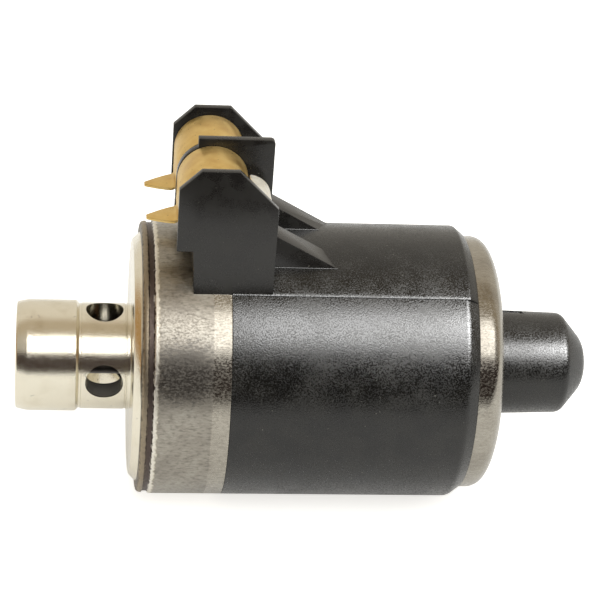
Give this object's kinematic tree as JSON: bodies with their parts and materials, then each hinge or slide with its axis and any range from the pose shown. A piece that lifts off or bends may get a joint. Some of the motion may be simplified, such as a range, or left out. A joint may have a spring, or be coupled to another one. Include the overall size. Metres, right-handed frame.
{
  "type": "transmission shift solenoid",
  "caption": "Normally closed shift solenoid: ported steel nose with a ball valve, round steel can in a black moulded sleeve, arched spring contacts between plates, and a conical end cap.",
  "frame": {"origin": "centre of the flange's seat face, on the solenoid's axis", "axes": "+X along the axis from the nose to the end cap, +Z towards the contacts, +Y to the left seen from the nose"},
  "size_m": [0.0633, 0.0302, 0.042],
  "materials": {
    "plated_steel": "bright zinc-nickel plating, fine turned",
    "can_steel": "plated, worn and scratched",
    "black_plastic": "moulded glass-filled nylon, fine grain",
    "contact_brass": "satin strip",
    "natural_nylon": "unpigmented nylon",
    "hard_steel": "ground",
    "soft_iron": "turned",
    "stainless_steel": "drawn",
    "spring_steel": "bright wire and strip",
    "bronze": "sintered",
    "enamelled_copper": "enamelled wire",
    "amber_tape": "polyimide tape"
  },
  "bodies": {
    "housing": {"valve_nose": "plated_steel", "valve_seat": "hard_steel", "guide_bush": "bronze", "guide_tube": "stainless_steel", "return_spring": "spring_steel", "residual_shim": "bronze", "pole_core": "soft_iron", "flux_ring": "soft_iron", "preload_washer": "spring_steel", "coil_bobbin": "natural_nylon", "coil_winding": "enamelled_copper", "winding_tape": "amber_tape", "right_coil_lead": "enamelled_copper", "left_coil_lead": "enamelled_copper", "housing_can": "can_steel", "connector_sleeve": "black_plastic", "end_cap": "black_plastic"},
    "plunger": {"armature": "soft_iron", "push_rod": "hard_steel", "valve_ball": "hard_steel"},
    "right_spring_contact": {"right_contact": "contact_brass"},
    "left_spring_contact": {"left_contact": "contact_brass"}
  },
  "joints": [
    {"name": "plunger_slide", "type": "slide", "parent": "housing", "child": "plunger", "axis": [1, 0, 0], "range_m": [0, 0.0006], "stiffness_N_per_m": 2000, "springref_m": -0.002, "deforming": ["return_spring"]},
    {"name": "right_contact_flex", "type": "hinge", "parent": "housing", "child": "right_spring_contact", "pos_m": [0.01158, -0.00385, 0.0208], "axis": [0, -1, 0], "range_deg": [0, 4], "stiffness_Nm_per_rad": 0.08},
    {"name": "left_contact_flex", "type": "hinge", "parent": "housing", "child": "left_spring_contact", "pos_m": [0.01158, 0.00385, 0.0208], "axis": [0, -1, 0], "range_deg": [0, 4], "stiffness_Nm_per_rad": 0.08}
  ]
}
